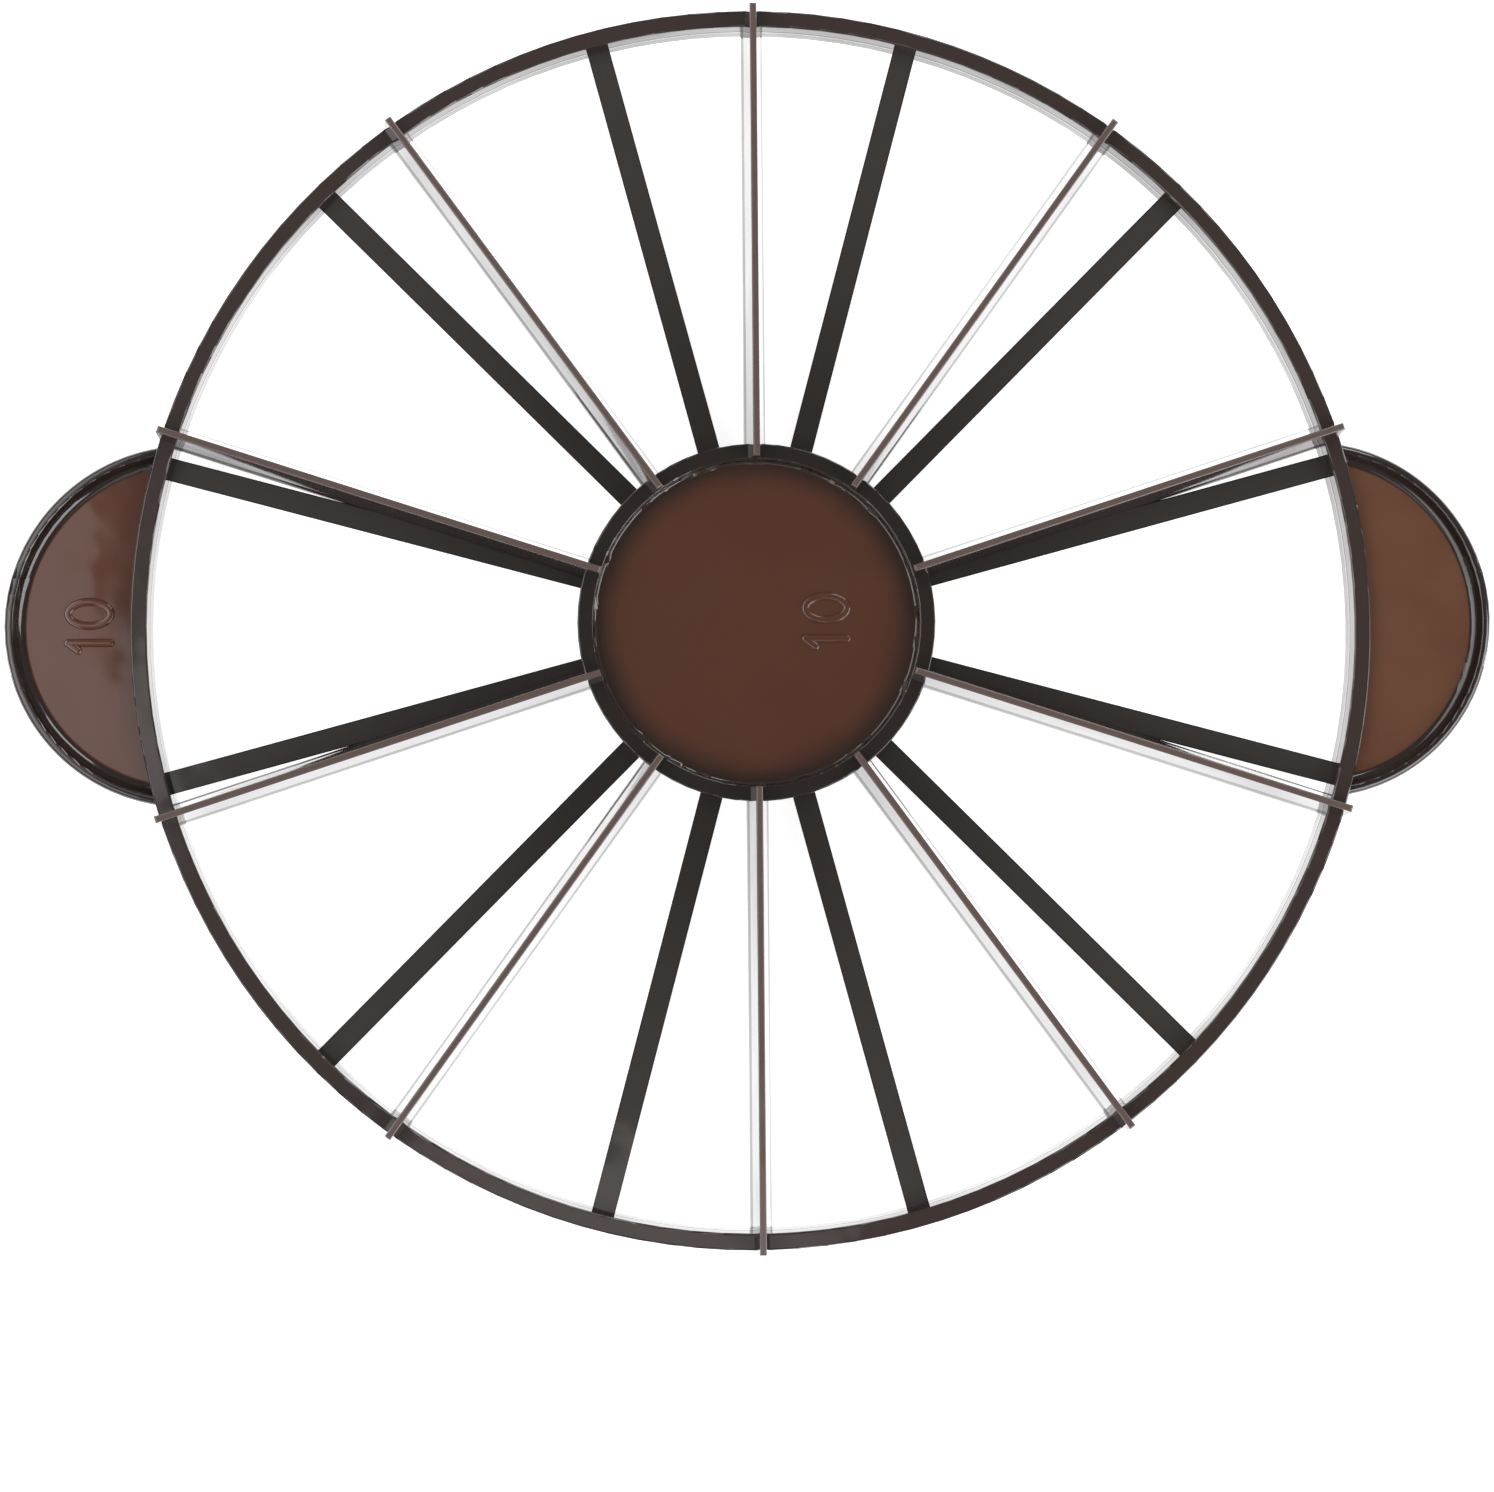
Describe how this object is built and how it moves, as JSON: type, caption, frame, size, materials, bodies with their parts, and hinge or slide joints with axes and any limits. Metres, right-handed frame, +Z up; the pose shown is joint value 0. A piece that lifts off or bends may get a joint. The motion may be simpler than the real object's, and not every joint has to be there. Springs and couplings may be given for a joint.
{
  "type": "cake portion marker",
  "caption": "Flat ring and dished hub joined by radial wedge fins on both faces, with dished finger tabs and raised portion numbers, for marking equal slices on a round cake.",
  "frame": {"origin": "on the hub's axis in the plane of the lower fins' tips, the bottom centre of the overall box", "axes": "+Z up out of the face with fewer fins, +X through the finger tab at the right of the picture, so both tabs lie along X"},
  "size_m": [0.3244, 0.27, 0.0202],
  "materials": {
    "brown_plastic": "glossy injection-moulded dark brown plastic"
  },
  "bodies": {
    "root": {"cake_marker": "brown_plastic"}
  },
  "joints": []
}
